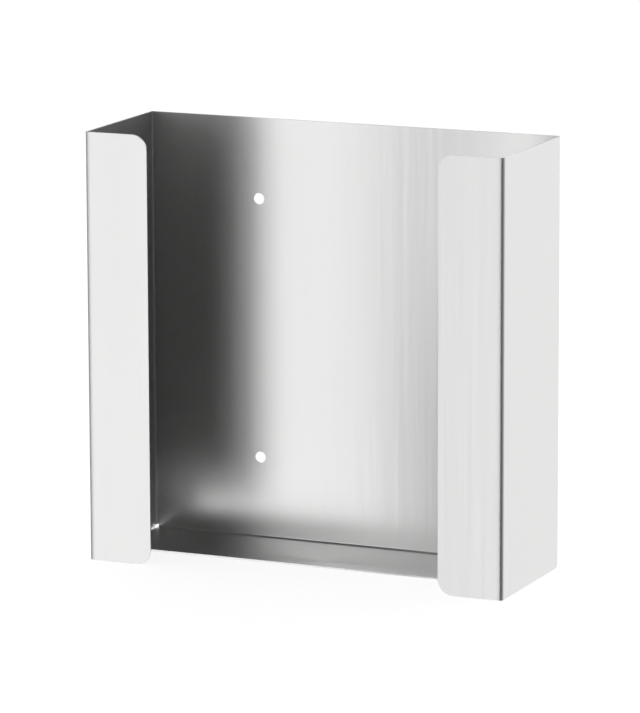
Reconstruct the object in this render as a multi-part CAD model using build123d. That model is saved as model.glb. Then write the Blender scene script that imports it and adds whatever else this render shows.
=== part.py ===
"""Disposable glove dispenser: an open-fronted wall rack for two cartons of gloves.

The rack is one blank of stainless sheet, folded into a back, two side walls, two front
lips and a shelf. Nothing is welded or fastened to it, and its top is open for loading.

Frame: millimetres, +Z up, the front faces -Y. The origin is the centre of the
screw-hole pattern on the rear face, so the wall that carries the rack is the plane Y = 0.
"""
import os
from build123d import *

# ---- Driving dimensions (mm) ---------------------------------------------------------

# sheet
SHEET = 1.0                  # thickness of the stainless blank
BEND_INSIDE = 1.0            # inside radius of every fold

# folded body
WIDTH = 250.0                # over the two side walls
HEIGHT = 244.0               # bottom edges to top edges
DEPTH = 86.0                 # rear face to the front of the lips
LIP = 38.0                   # each lip, from its side wall's outer face to its free edge
LIP_CORNER_RADIUS = 9.0      # free corners of the lips, top and bottom

# shelf, folded forward from the bottom of the back
SHELF_DEPTH = 54.0           # rear face to the shelf's front edge
SHELF_SIDE_GAP = 1.6         # slit between the shelf and each side wall
SHELF_CORNER_RADIUS = 3.0    # front corners of the shelf
RELIEF_RADIUS = 2.5          # bite at each rear bottom corner, where two folds would meet

# screw holes in the back
HOLE_DIAMETER = 6.5
HOLE_SPACING_X = 115.0
HOLE_SPACING_Z = 150.0
LOWER_HOLE_HEIGHT = 47.5     # bottom edges to the centres of the lower pair

# ---- Places that follow from them ----------------------------------------------------

BEND_MIDDLE = BEND_INSIDE + SHEET / 2
BEND_OUTSIDE = BEND_INSIDE + SHEET
BOTTOM = -(LOWER_HOLE_HEIGHT + HOLE_SPACING_Z / 2)
TOP = BOTTOM + HEIGHT
BACK_MIDDLE_Y = -SHEET / 2
LIP_MIDDLE_Y = SHEET / 2 - DEPTH
WALL_MIDDLE_X = (WIDTH - SHEET) / 2
LIP_EDGE_X = WIDTH / 2 - LIP
SHELF_HALF_WIDTH = WIDTH / 2 - SHEET - SHELF_SIDE_GAP


def folded_strip(corners):
    """The section of a sheet whose middle line turns at each corner with a round fold."""
    middle_line = FilletPolyline(*corners, radius=BEND_MIDDLE)
    return trace(middle_line, line_width=SHEET)


def round_corners(sheet, through, position, radius):
    """Rounds the sheet's corners whose short edges run along `through` at `position`."""
    short_edges = sheet.edges().filter_by(through)
    corner_edges = short_edges.filter_by(lambda edge: position(edge.center()))
    return fillet(corner_edges, radius)


def wrap():
    """Back, side walls and lips: a C in plan, as tall as the rack, open to the front."""
    plan = folded_strip([
        (-LIP_EDGE_X, LIP_MIDDLE_Y),
        (-WALL_MIDDLE_X, LIP_MIDDLE_Y),
        (-WALL_MIDDLE_X, BACK_MIDDLE_Y),
        (WALL_MIDDLE_X, BACK_MIDDLE_Y),
        (WALL_MIDDLE_X, LIP_MIDDLE_Y),
        (LIP_EDGE_X, LIP_MIDDLE_Y),
    ])
    square_lips = Pos(Z=BOTTOM) * extrude(plan, HEIGHT)
    at_lip_edge = lambda place: abs(abs(place.X) - LIP_EDGE_X) < SHEET / 2
    return round_corners(square_lips, Axis.Y, at_lip_edge, LIP_CORNER_RADIUS)


def shelf_and_its_back():
    """The part of the back between the corner reliefs, and the shelf folded from it."""
    section = folded_strip([
        (BACK_MIDDLE_Y, TOP),
        (BACK_MIDDLE_Y, BOTTOM + SHEET / 2),
        (-SHELF_DEPTH, BOTTOM + SHEET / 2),
    ])
    square_shelf = extrude(Plane.YZ * section, SHELF_HALF_WIDTH, both=True)
    at_front_edge = lambda place: abs(place.Y + SHELF_DEPTH) < SHEET / 2
    return round_corners(square_shelf, Axis.Z, at_front_edge, SHELF_CORNER_RADIUS)


def room_for_shelf_fold():
    """The bottom strip of the wrap's back, whose place the shelf's fold takes."""
    align_to_rear_and_bottom = (Align.CENTER, Align.MAX, Align.MIN)
    strip = Box(2 * SHELF_HALF_WIDTH, SHEET, BEND_OUTSIDE, align=align_to_rear_and_bottom)
    return Pos(Z=BOTTOM) * strip


def corner_relief(side):
    """A round bite along the bottom rear edge, from the shelf's side out through the wall."""
    length = WIDTH / 2 - SHELF_HALF_WIDTH
    bite = Cylinder(RELIEF_RADIUS, length, rotation=(0, 90, 0))
    return Pos(side * (SHELF_HALF_WIDTH + length / 2), 0, BOTTOM) * bite


def screw_holes():
    """Clearance holes through the back at the corners of a rectangle about the origin."""
    drill = Cylinder(HOLE_DIAMETER / 2, 4 * SHEET)
    rectangle = Plane.XZ * GridLocations(HOLE_SPACING_X, HOLE_SPACING_Z, 2, 2)
    return rectangle * drill


def dispenser_body():
    """The folded rack as one solid."""
    body = wrap() - room_for_shelf_fold()
    body -= [corner_relief(side) for side in (-1, 1)]
    body += shelf_and_its_back()
    body -= screw_holes()
    return body


os.makedirs("parts", exist_ok=True)
export_step(dispenser_body(), "parts/dispenser_body.step")
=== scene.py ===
# %% [markdown]
# # A glove rack folded from one sheet
# The object is a wall rack for cartons of disposable gloves. It is one blank of brushed
# stainless sheet, cut by laser and folded in a press brake. The CAD model is loaded first and
# stays as it is: it says where everything lies, in metres, with the screw-hole pattern's centre
# at the origin and the front facing -Y.

# %% Load the frame
import math
import bmesh
import bpy
from mathutils import Matrix, Vector


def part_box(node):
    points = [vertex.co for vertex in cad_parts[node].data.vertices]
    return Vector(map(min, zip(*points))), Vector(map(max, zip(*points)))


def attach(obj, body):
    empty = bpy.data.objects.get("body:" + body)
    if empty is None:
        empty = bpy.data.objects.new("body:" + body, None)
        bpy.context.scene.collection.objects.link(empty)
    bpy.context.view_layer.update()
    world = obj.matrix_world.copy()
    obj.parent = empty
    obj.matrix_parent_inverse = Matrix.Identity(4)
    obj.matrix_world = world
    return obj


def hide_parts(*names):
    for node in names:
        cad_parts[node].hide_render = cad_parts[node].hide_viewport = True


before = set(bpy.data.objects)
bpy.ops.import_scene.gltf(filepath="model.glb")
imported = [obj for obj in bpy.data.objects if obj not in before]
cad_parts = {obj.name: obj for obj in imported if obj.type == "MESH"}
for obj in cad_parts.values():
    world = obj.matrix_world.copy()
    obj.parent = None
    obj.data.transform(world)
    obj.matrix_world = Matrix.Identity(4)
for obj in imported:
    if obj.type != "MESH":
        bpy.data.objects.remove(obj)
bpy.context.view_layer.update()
low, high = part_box("dispenser_body")
print("CAD box in mm:", [round(v * 1000, 2) for v in (*low, *high)])

# %% [markdown]
# The outer sizes are read from the frame. The sizes that a box can't tell are written here once,
# in metres, and everything below is worked out from these values.

# %% Sizes of the sheet and its folds
MM = 0.001
SHEET = 1.0 * MM
BEND_INSIDE = 1.0 * MM
LIP = 38.0 * MM
LIP_CORNER_RADIUS = 9.0 * MM
SHELF_DEPTH = 54.0 * MM
SHELF_SIDE_GAP = 1.6 * MM
SHELF_CORNER_RADIUS = 3.0 * MM
RELIEF_RADIUS = 2.5 * MM
HOLE_RADIUS = 3.25 * MM
HOLE_X = 57.5 * MM
HOLE_Z = 75.0 * MM

BEND_OUTSIDE = BEND_INSIDE + SHEET
HALF_WIDTH = high.x
DEPTH = -low.y
BOTTOM = low.z
TOP = high.z
MIDDLE_Y = -SHEET / 2
FOLD_X = HALF_WIDTH - BEND_OUTSIDE
FRONT_FOLD_Y = BEND_OUTSIDE - DEPTH
LIP_EDGE_X = HALF_WIDTH - LIP
SHELF_HALF_WIDTH = HALF_WIDTH - SHEET - SHELF_SIDE_GAP
print("flat of the back in mm:", round(2 * FOLD_X / MM, 2), "wide")

# %% [markdown]
# ## Working in edit mode
# A script can model the way a person does: select some edges by where they are, then run the
# same operators that the menus run. Everything is deselected first, because an operator acts on
# all that is selected. These helpers select by a test on each edge's or face's middle point.


# %% Helpers for selecting by place
def clear_selection():
    for thing in bpy.context.selected_objects:
        thing.select_set(False)


def choose(piece):
    """Selects this object alone and makes it the active one."""
    clear_selection()
    piece.select_set(True)
    bpy.context.view_layer.objects.active = piece


def select_where(test, kind="edges"):
    """In edit mode, selects exactly the edges, faces or verts whose middle passes the test."""
    mesh = bmesh.from_edit_mesh(bpy.context.edit_object.data)
    bpy.ops.mesh.select_all(action="DESELECT")
    chosen = 0
    for element in getattr(mesh, kind):
        place = element.co if kind == "verts" else middle(element)
        if test(place, element):
            element.select_set(True)
            chosen += 1
    mesh.select_flush_mode()
    bmesh.update_edit_mesh(bpy.context.edit_object.data)
    return chosen


def middle(element):
    total = Vector()
    for vertex in element.verts:
        total += vertex.co
    return total / len(element.verts)


def near(value, target, tolerance=0.01 * MM):
    return abs(value - target) < tolerance


# %% [markdown]
# ## The back panel
# The sheet is modelled as its own middle surface, with no thickness yet. That keeps every fold
# a simple turn of an edge. The flat of the back stops where the folds begin. The shelf will
# be narrower than the back, so the panel is cut along the shelf's two sides and along the line
# where its fold starts, and the strip below that line is taken away.

# %% Make the back panel
clear_selection()
bpy.ops.mesh.primitive_plane_add(size=1.0, location=(0.0, MIDDLE_Y, (BOTTOM + TOP) / 2))
rack = bpy.context.active_object
rack.name = "folded_rack"
rack.rotation_euler = (math.radians(90), 0.0, 0.0)
rack.scale = (2 * FOLD_X, TOP - BOTTOM, 1.0)
bpy.ops.object.transform_apply(location=True, rotation=True, scale=True)
bpy.ops.object.mode_set(mode="EDIT")
bpy.ops.mesh.select_mode(type="EDGE")
for side in (-1, 1):
    bpy.ops.mesh.select_all(action="SELECT")
    bpy.ops.mesh.bisect(plane_co=(side * SHELF_HALF_WIDTH, 0.0, 0.0), plane_no=(1.0, 0.0, 0.0))
bpy.ops.mesh.select_mode(type="FACE")
select_where(lambda place, face: abs(place.x) < SHELF_HALF_WIDTH, kind="faces")
SHELF_FOLD_Z = BOTTOM + BEND_OUTSIDE
bpy.ops.mesh.bisect(plane_co=(0.0, 0.0, SHELF_FOLD_Z), plane_no=(0.0, 0.0, 1.0))
strip = select_where(
    lambda place, face: abs(place.x) < SHELF_HALF_WIDTH and place.z < SHELF_FOLD_Z, kind="faces")
bpy.ops.mesh.delete(type="FACE")
bpy.ops.mesh.select_mode(type="EDGE")
print("faces taken away below the shelf's fold:", strip)

# %% [markdown]
# ## Folding
# A press brake turns the free part of the sheet about the fold's axis. The spin operator does
# the same to a free edge: it leaves a round strip of faces behind it. An extrusion then carries
# the edge on to the end of the next flat panel. Eight faces a fold keep its highlight smooth.

# %% Fold and extend a free edge
FOLD_STEPS = 8


def fold(centre, axis, degrees):
    """Turns the selected free edges about the fold's axis, leaving a round strip behind.

    Spin takes a clockwise angle as positive, so the sign is changed to the usual one."""
    bpy.ops.mesh.spin(steps=FOLD_STEPS, angle=-math.radians(degrees), center=centre, axis=axis)


def extend(offset):
    """Carries the selected edges on, leaving a flat panel behind."""
    bpy.ops.mesh.extrude_region_move(TRANSFORM_OT_translate={"value": offset})


for side in (-1, 1):
    select_where(lambda place, edge: near(place.x, side * FOLD_X))
    fold((side * FOLD_X, -BEND_OUTSIDE, 0.0), (0.0, 0.0, 1.0), -90 * side)
    extend((0.0, FRONT_FOLD_Y + BEND_OUTSIDE, 0.0))
    fold((side * FOLD_X, FRONT_FOLD_Y, 0.0), (0.0, 0.0, 1.0), -90 * side)
    extend((side * (LIP_EDGE_X - FOLD_X), 0.0, 0.0))

select_where(lambda place, edge: abs(place.x) < SHELF_HALF_WIDTH
             and near(place.z, SHELF_FOLD_Z) and near(place.y, MIDDLE_Y))
fold((0.0, -BEND_OUTSIDE, SHELF_FOLD_Z), (1.0, 0.0, 0.0), -90)
extend((0.0, BEND_OUTSIDE - SHELF_DEPTH, 0.0))
mesh = bmesh.from_edit_mesh(rack.data)
print("folded surface:", len(mesh.faces), "faces, depth in mm",
      round(-min(v.co.y for v in mesh.verts) / MM, 2))

# %% [markdown]
# ## Round corners
# The free corners of the lips are cut round, so that a gloved hand doesn't catch on them. The
# shelf's front corners are cut round too, with a smaller radius. A bevel of single vertices does
# this on a surface that has no thickness yet.


# %% Round the free corners
CORNER_STEPS = 12


def round_corners(test, radius):
    bpy.ops.mesh.select_mode(type="VERT")
    found = select_where(test, kind="verts")
    bpy.ops.mesh.bevel(affect="VERTICES", offset=radius, offset_type="OFFSET", segments=CORNER_STEPS)
    return found


lip_corners = round_corners(
    lambda place, vertex: near(abs(place.x), LIP_EDGE_X) and place.y < FRONT_FOLD_Y,
    LIP_CORNER_RADIUS)
shelf_corners = round_corners(
    lambda place, vertex: near(abs(place.x), SHELF_HALF_WIDTH) and near(place.y, -SHELF_DEPTH),
    SHELF_CORNER_RADIUS)
print("rounded corners on the lips and the shelf:", lip_corners, shelf_corners)

# %% [markdown]
# ## Thickness
# The surface gets its thickness last, half a millimetre to each side. Doubles are merged and the
# faces are turned one way first, because the modifier grows the sheet along its normals.

# %% Give the sheet its thickness
DOUBLES = 0.001 * MM

bpy.ops.mesh.select_all(action="SELECT")
bpy.ops.mesh.remove_doubles(threshold=DOUBLES)
bpy.ops.mesh.normals_make_consistent(inside=False)
bpy.ops.object.mode_set(mode="OBJECT")


def apply_modifier(piece, kind, **settings):
    modifier = piece.modifiers.new(kind.lower(), kind)
    for setting, value in settings.items():
        setattr(modifier, setting, value)
    choose(piece)
    bpy.ops.object.modifier_apply(modifier=modifier.name)


apply_modifier(rack, "SOLIDIFY", thickness=SHEET, offset=0.0, use_even_offset=True)
print("closed sheet:", len(rack.data.polygons), "faces")

# %% [markdown]
# ## Holes and reliefs
# The laser's cuts go right through the sheet: four screw holes in the back, and a round bite at
# each rear bottom corner, where the shelf's fold and the wall's fold would meet. Without that
# relief the sheet would tear.
#
# A cutter must not share a plane with what it cuts, or the boolean leaves edges with three
# faces. So each relief's cutter starts a hair inside the shelf's side, and 66 sides put no
# corner of it on the back's own plane.
#
# The cuts leave a few slivers, which are welded away. Then the flats are cut across close to
# the reliefs, because one long face that runs into tiny ones shades as a slanted streak.

# %% Cut the screw holes and the corner reliefs
CUTTER_SIDES = 66
CUTTER_OVERLAP = 0.02 * MM
SLIVER = 0.005 * MM


def cutter(radius, length, place, rotation):
    clear_selection()
    bpy.ops.mesh.primitive_cylinder_add(vertices=CUTTER_SIDES, radius=radius, depth=length,
                                        location=place, rotation=rotation)
    return bpy.context.active_object


def weld(piece, distance):
    """Merges corners that lie nearer than this and clears the slivers they leave."""
    choose(piece)
    bpy.ops.object.mode_set(mode="EDIT")
    bpy.ops.mesh.select_all(action="SELECT")
    bpy.ops.mesh.remove_doubles(threshold=distance)
    bpy.ops.mesh.dissolve_degenerate(threshold=distance)
    bpy.ops.object.mode_set(mode="OBJECT")


def cut_across(place, normal):
    """Splits every face of the active object that crosses this plane."""
    bpy.ops.object.mode_set(mode="EDIT")
    bpy.ops.mesh.select_all(action="SELECT")
    bpy.ops.mesh.bisect(plane_co=place, plane_no=normal)
    bpy.ops.object.mode_set(mode="OBJECT")


QUARTER_TURN = math.radians(90)
cutters = []
for x in (-HOLE_X, HOLE_X):
    for z in (-HOLE_Z, HOLE_Z):
        cutters.append(cutter(HOLE_RADIUS, 6 * SHEET, (x, MIDDLE_Y, z), (QUARTER_TURN, 0.0, 0.0)))
relief_start = SHELF_HALF_WIDTH - CUTTER_OVERLAP
relief_length = HALF_WIDTH + SHEET - relief_start
for side in (-1, 1):
    relief_place = (side * (relief_start + relief_length / 2), 0.0, BOTTOM)
    cutters.append(cutter(RELIEF_RADIUS, relief_length, relief_place, (0.0, QUARTER_TURN, 0.0)))
for tool in cutters:
    apply_modifier(rack, "BOOLEAN", operation="DIFFERENCE", solver="EXACT", object=tool)
    bpy.data.objects.remove(tool, do_unlink=True)
weld(rack, SLIVER)
cut_across((0.0, -2 * RELIEF_RADIUS, 0.0), (0.0, 1.0, 0.0))
cut_across((0.0, 0.0, BOTTOM + 2 * RELIEF_RADIUS), (0.0, 0.0, 1.0))
print("sheet with its cuts:", len(rack.data.polygons), "faces")

# %% [markdown]
# ## Broken edges
# A cut edge is never perfectly sharp. After the laser it is tumbled or brushed, which breaks the
# edge by about a tenth of a millimetre. The bevel does this to each sharp edge and leaves the
# round folds alone. The reliefs' own rims keep their corners, which are too small to break.
# Weighted normals keep the big panels flat right up to their broken edges.

# %% Break the cut edges
BROKEN_EDGE = 0.12 * MM
STEEP = math.radians(50)
SMOOTH_BELOW = math.radians(35)


def open_cut_edge(place, edge):
    """Whether an edge is sharp and isn't part of a relief's rim."""
    between_reliefs = abs(place.x) < SHELF_HALF_WIDTH - SHEET
    clear_of_relief = math.hypot(place.y, place.z - BOTTOM) > RELIEF_RADIUS + BROKEN_EDGE
    return edge.calc_face_angle(0.0) > STEEP and (between_reliefs or clear_of_relief)


choose(rack)
bpy.ops.object.mode_set(mode="EDIT")
bpy.ops.mesh.select_mode(type="EDGE")
broken = select_where(open_cut_edge)
bpy.ops.mesh.bevel(offset=BROKEN_EDGE, segments=2, affect="EDGES", clamp_overlap=False)
bpy.ops.object.mode_set(mode="OBJECT")
bpy.ops.object.shade_smooth_by_angle(angle=SMOOTH_BELOW)
apply_modifier(rack, "WEIGHTED_NORMAL", mode="FACE_AREA", weight=100, keep_sharp=True)
print("edges broken:", broken)
print("finished sheet:", len(rack.data.polygons), "faces")
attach(rack, "root")
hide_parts("dispenser_body")

# %% [markdown]
# ## The flat blank's map
# The mill brushes the flat sheet along its length before it is cut, so the grain runs up the
# back, the walls and the lips, and from back to front along the shelf. Fine grooves spread
# a reflection sideways, across the grain, and hardly at all along it. The shader's own
# anisotropy does that. Its direction is the shader's usual one, round the upright axis, which is
# right for the upright panels and only roughly so for the shelf. A UV map holds each point's
# place in the flat blank, in metres, so the grain's streaks follow the sheet round its folds.


# %% Map the folded sheet back to the flat blank
SHELF_TOP = BOTTOM + 1.2 * SHEET


def blank_place(point):
    """Where a point of the folded rack lies in the flat blank, in metres."""
    depth = -point.y
    between_walls = abs(point.x) < SHELF_HALF_WIDTH + SHEET / 2
    if between_walls and point.z < SHELF_TOP and depth < SHELF_DEPTH + SHEET:
        return point.x, BOTTOM - depth
    along = abs(point.x) + depth
    if depth > DEPTH / 2:
        along = HALF_WIDTH + depth + (HALF_WIDTH - abs(point.x))
    return math.copysign(along, point.x), point.z


blank = rack.data.uv_layers.new(name="blank")
rack.data.uv_layers.active = blank
for polygon in rack.data.polygons:
    for loop in polygon.loop_indices:
        vertex = rack.data.loops[loop].vertex_index
        blank.data[loop].uv = blank_place(rack.data.vertices[vertex].co)
print("blank map:", len(blank.data), "corners")

# %% [markdown]
# ## Brushed steel
# Shader maths reads better as Python expressions. A small class wraps a node's output socket,
# and adding or multiplying two of them adds the Math node that does it.


# %% Write node maths as expressions
class Socket:
    """An output of a material's node tree that can be used in Python sums."""

    def __init__(self, tree, output):
        self.tree = tree
        self.output = output

    def node(self, kind, inputs=(), output=0, **settings):
        """Adds a node, sets it up, fills its inputs and returns one of its outputs."""
        made = self.tree.nodes.new(kind)
        for setting, value in settings.items():
            setattr(made, setting, value)
        for name, value in dict(inputs).items():
            if isinstance(value, Socket):
                self.tree.links.new(value.output, made.inputs[name])
            else:
                made.inputs[name].default_value = value
        return Socket(self.tree, made.outputs[output])

    def maths(self, operation, *values):
        """Adds a Math node that works on the numbers or sockets given."""
        return self.node("ShaderNodeMath", dict(enumerate(values)), operation=operation)

    def at_least(self, limit):
        return self.maths("MAXIMUM", self, limit)

    def at_most(self, limit):
        return self.maths("MINIMUM", self, limit)

    def cosine(self):
        return self.maths("COSINE", self)

    def __abs__(self):
        return self.maths("ABSOLUTE", self)

    def __add__(self, other):
        return self.maths("ADD", self, other)

    def __sub__(self, other):
        return self.maths("SUBTRACT", self, other)

    def __rsub__(self, other):
        return self.maths("SUBTRACT", other, self)

    def __mul__(self, other):
        return self.maths("MULTIPLY", self, other)

    __radd__ = __add__
    __rmul__ = __mul__


def new_material(name):
    """A material with one Principled shader; returns it with its tree and shader."""
    material = bpy.data.materials.new(name)
    material.use_nodes = True
    shader = material.node_tree.nodes["Principled BSDF"]
    return material, material.node_tree, shader


print("node maths is ready: a Socket can be added, multiplied and limited")

# %% [markdown]
# Brushing leaves fine scratches, and rolling leaves broader, fainter streaks. Both are noise that
# is drawn out along the grain, and both vary the grey and the roughness by a few hundredths. The
# steel is a trace less blue than it is red.

# %% Make the brushed steel
STEEL_GREY = 0.85
STEEL_ROUGHNESS = 0.33
STEEL_METALLIC = 0.92
GRAIN_STRENGTH = 0.5
FINE_CHANGE = 0.03
BROAD_CHANGE = 0.02
LESS_BLUE = 0.995

steel, tree, shader = new_material("brushed_stainless")
start = Socket(tree, None)
place = start.node("ShaderNodeUVMap", uv_map="blank")


def streaks(across_mm, along_mm, detail):
    """Noise drawn out along the grain, centred on 0, with features this far apart."""
    scale = (1 / (across_mm * MM), 1 / (along_mm * MM), 1.0)
    stretched = start.node("ShaderNodeMapping", {"Vector": place, "Scale": scale})
    inputs = {"Vector": stretched, "Scale": 1.0, "Detail": detail, "Roughness": 0.6}
    return start.node("ShaderNodeTexNoise", inputs, output="Fac", noise_dimensions="2D") - 0.5


fine = streaks(0.7, 60.0, 3.0)
broad = streaks(6.0, 200.0, 2.0)
grain = fine * FINE_CHANGE + broad * BROAD_CHANGE
shade = STEEL_GREY + grain
colour = start.node("ShaderNodeCombineColor", {"Red": shade, "Green": shade, "Blue": shade * LESS_BLUE})
roughness = STEEL_ROUGHNESS + grain
tree.links.new(colour.output, shader.inputs["Base Color"])
shader.inputs["Metallic"].default_value = STEEL_METALLIC
shader.inputs["Anisotropic"].default_value = GRAIN_STRENGTH
rack.data.materials.clear()
rack.data.materials.append(steel)
print("steel's grey and mean roughness:", STEEL_GREY, STEEL_ROUGHNESS)

# %% [markdown]
# A folded sheet is seldom dead flat, and its reflections show it. Here the back is dished, each
# lip leans by a degree or two, and the sheet is duller where the press stretched it round the
# front folds. The dish is deeper than a real rack's would be. It also stands in for panels close
# to the rack, which make a flat sheet fade towards its sides, because this studio is infinitely
# far away and would light a flat sheet evenly. A bump tips the surface's normal, with a height
# worked out from the place in the flat blank. The mesh and the outline stay flat.

# %% Dish the back, lean the lips and dull the front folds
DISH_DEPTH = 5.0 * MM
DISH_HALF_WIDTH = 120.0 * MM
LOW_RIGHT_EXTRA = 0.4
LIP_LEAN = math.radians(2.2)
GROOVE_DEPTH = 0.01 * MM
WAVE_DEPTH = 0.05 * MM
FRONT_FOLD = HALF_WIDTH + DEPTH
FOLD_HALF_WIDTH = 1.6 * MM
FOLD_DULLNESS = 0.12

sideways = start.node("ShaderNodeSeparateXYZ", {"Vector": place}, output="X")
upwards = start.node("ShaderNodeSeparateXYZ", {"Vector": place}, output="Y")
across = abs(sideways)
dish = 1.0 - (across * (math.pi / DISH_HALF_WIDTH)).at_most(math.pi).cosine()
right = (sideways * (2 / DISH_HALF_WIDTH)).at_least(0.0).at_most(1.0)
lower = (0.6 - upwards * (1 / DISH_HALF_WIDTH)).at_least(0.0).at_most(1.0)
dish = dish * (1.0 + right * lower * LOW_RIGHT_EXTRA)
lean = (across - FRONT_FOLD).at_least(0.0) * -math.tan(LIP_LEAN)
surface = dish * (DISH_DEPTH / 2) + lean + fine * GROOVE_DEPTH + broad * WAVE_DEPTH
bump = start.node("ShaderNodeBump", {"Height": surface, "Strength": 1.0, "Distance": 1.0})
fold_mark = (2.0 - abs(across - FRONT_FOLD) * (1 / FOLD_HALF_WIDTH)).at_least(0.0).at_most(1.0)
roughness = roughness + fold_mark * FOLD_DULLNESS
tree.links.new(roughness.output, shader.inputs["Roughness"])
tree.links.new(bump.output, shader.inputs["Normal"])
print("steel nodes:", len(tree.nodes))

# %% [markdown]
# ## The studio
# Bare steel shows its surroundings more than itself, so the surroundings are made with care. They
# are a ring of grey panels: a bright one just left of the front, paler ones behind, and dark gaps
# at both front corners, above and below. The panels draw the lips and the right wall bright, and
# the gaps draw the inside of the rack. The camera itself sees white.

# %% Lay out the studio's panels
# Each pair is a direction round the rack, in degrees from its front towards its right (+X), and
# how bright the studio is there. The low ring is below the horizon, the high ring above it.
LOW_RING = [
    (-180, 0.75), (-165, 1.2), (-150, 1.6), (-135, 0.15), (-110, 0.05), (-85, 0.15), (-65, 0.35),
    (-52, 0.7), (-44, 0.0), (-32, 0.0), (-26, 2.05), (-20, 2.25), (-14, 1.4), (-8, 0.95), (-2, 0.85),
    (5, 0.12), (12, 0.0), (64, 0.0), (75, 0.12), (90, 0.35), (110, 0.35), (130, 0.45), (145, 0.9),
    (158, 1.4), (170, 1.1), (180, 0.75),
]
HIGH_RING = [
    (-180, 1.0), (-100, 1.0), (-70, 0.9), (-50, 0.6), (-38, 0.4), (-28, 1.25), (-20, 1.4), (-12, 0.75),
    (-4, 0.45), (6, 0.1), (18, 0.0), (30, 0.0), (45, 0.25), (60, 0.12), (90, 0.5), (120, 1.0),
    (150, 1.1), (180, 1.0),
]
CEILING = 0.08
UNDERNEATH = 0.08
# How high a direction lies, as the sine of its elevation, where one band gives way to the next.
FLOOR_TO_LOW = (-0.85, -0.60)
LOW_TO_HIGH = (-0.05, 0.05)
HIGH_TO_CEILING = (0.42, 0.62)

world = bpy.data.worlds.new("studio")
bpy.context.scene.world = world
world.use_nodes = True
sky = world.node_tree
sky.nodes.clear()
studio = Socket(sky, None)
direction = studio.node("ShaderNodeTexCoord", output="Generated")
axes = [studio.node("ShaderNodeSeparateXYZ", {"Vector": direction}, output=axis) for axis in "XYZ"]
turn = studio.maths("ARCTAN2", axes[0], axes[1] * -1.0) * (1 / (2 * math.pi)) + 0.5


def ring(stops):
    """A band of grey that changes with the direction round the rack."""
    band = studio.node("ShaderNodeValToRGB", {"Fac": turn})
    elements = band.output.node.color_ramp.elements
    while len(elements) < len(stops):
        elements.new(1.0)
    for element, (degrees, grey) in zip(elements, stops):
        element.position = degrees / 360 + 0.5
        element.color = (grey, grey, grey, 1.0)
    return band


def blend(below, above, start, end):
    """Goes from one grey to another as a direction's height rises from start to end."""
    share = studio.node("ShaderNodeMapRange", {"Value": axes[2], "From Min": start, "From Max": end},
                        interpolation_type="SMOOTHSTEP")
    return studio.node("ShaderNodeMix", {0: share, 6: below, 7: above}, output=2, data_type="RGBA")


def grey(level):
    return (level, level, level, 1.0)


walls = blend(ring(LOW_RING), ring(HIGH_RING), *LOW_TO_HIGH)
upper = blend(walls, grey(CEILING), *HIGH_TO_CEILING)
studio_light = blend(grey(UNDERNEATH), upper, *FLOOR_TO_LOW)
seen = studio.node("ShaderNodeLightPath", output="Is Camera Ray")
shown = studio.node("ShaderNodeMix", {0: seen, 6: studio_light, 7: grey(1.0)}, output=2, data_type="RGBA")
background = studio.node("ShaderNodeBackground", {"Color": shown, "Strength": 1.0})
world_output = sky.nodes.new("ShaderNodeOutputWorld")
sky.links.new(background.output, world_output.inputs["Surface"])
print("panels round the studio, low and high:", len(LOW_RING), len(HIGH_RING))

# %% [markdown]
# ## The floor
# A white floor carries the rack's faint shadow. It glows for the camera only, so that it joins
# the white behind it without a line, and the steel doesn't reflect it. It lies a fiftieth of a
# millimetre below the rack, because two faces at one height would flicker.

# %% Lay the floor
FLOOR_SIZE = 30.0
FLOOR_GAP = 0.02 * MM
FLOOR_GREY = 0.8
FLOOR_GLOW = 0.84
clear_selection()
bpy.ops.mesh.primitive_plane_add(size=FLOOR_SIZE, location=(0.0, 0.0, BOTTOM - FLOOR_GAP))
floor = bpy.context.active_object
floor.name = "studio_floor"
floor.visible_glossy = False
paint, paint_tree, paint_shader = new_material("floor_white")
paint_shader.inputs["Base Color"].default_value = grey(FLOOR_GREY)
paint_shader.inputs["Roughness"].default_value = 1.0
paint_shader.inputs["Specular IOR Level"].default_value = 0.0
glow = Socket(paint_tree, None).node("ShaderNodeLightPath", output="Is Camera Ray")
paint_tree.links.new(glow.output, paint_shader.inputs["Emission Color"])
paint_shader.inputs["Emission Strength"].default_value = FLOOR_GLOW
floor.data.materials.append(paint)
print("floor in metres:", FLOOR_SIZE, "square, at height", round(floor.location.z, 5))

# %% [markdown]
# ## The camera
# A product like this is taken from well back with a long lens, which keeps its upright edges
# nearly parallel. The camera stands to the right of the front and a little above it, so that one
# view shows the inside, the shelf and a side wall.

# %% Set up the camera
LENS_MM = 250.0
SENSOR_MM = 36.0
CAMERA_AZIMUTH = 23.68
CAMERA_ELEVATION = 11.24
CAMERA_ROLL = -0.20
CAMERA_DISTANCE = 2.763
CAMERA_TARGET = Vector((-0.0016, -0.043, -0.0042))

azimuth, elevation = math.radians(CAMERA_AZIMUTH), math.radians(CAMERA_ELEVATION)
backward = Vector((math.sin(azimuth) * math.cos(elevation), -math.cos(azimuth) * math.cos(elevation),
                   math.sin(elevation)))
lens = bpy.data.cameras.new("camera")
lens.lens = LENS_MM
lens.sensor_width = SENSOR_MM
camera = bpy.data.objects.new("camera", lens)
bpy.context.scene.collection.objects.link(camera)
aim = backward.to_track_quat("Z", "Y").to_matrix().to_4x4()
camera.matrix_world = (Matrix.Translation(CAMERA_TARGET + backward * CAMERA_DISTANCE) @ aim
                       @ Matrix.Rotation(math.radians(CAMERA_ROLL), 4, "Z"))
bpy.context.scene.camera = camera
bpy.context.scene.view_settings.view_transform = "Standard"
print("camera at, in metres:", [round(v, 3) for v in camera.matrix_world.translation])
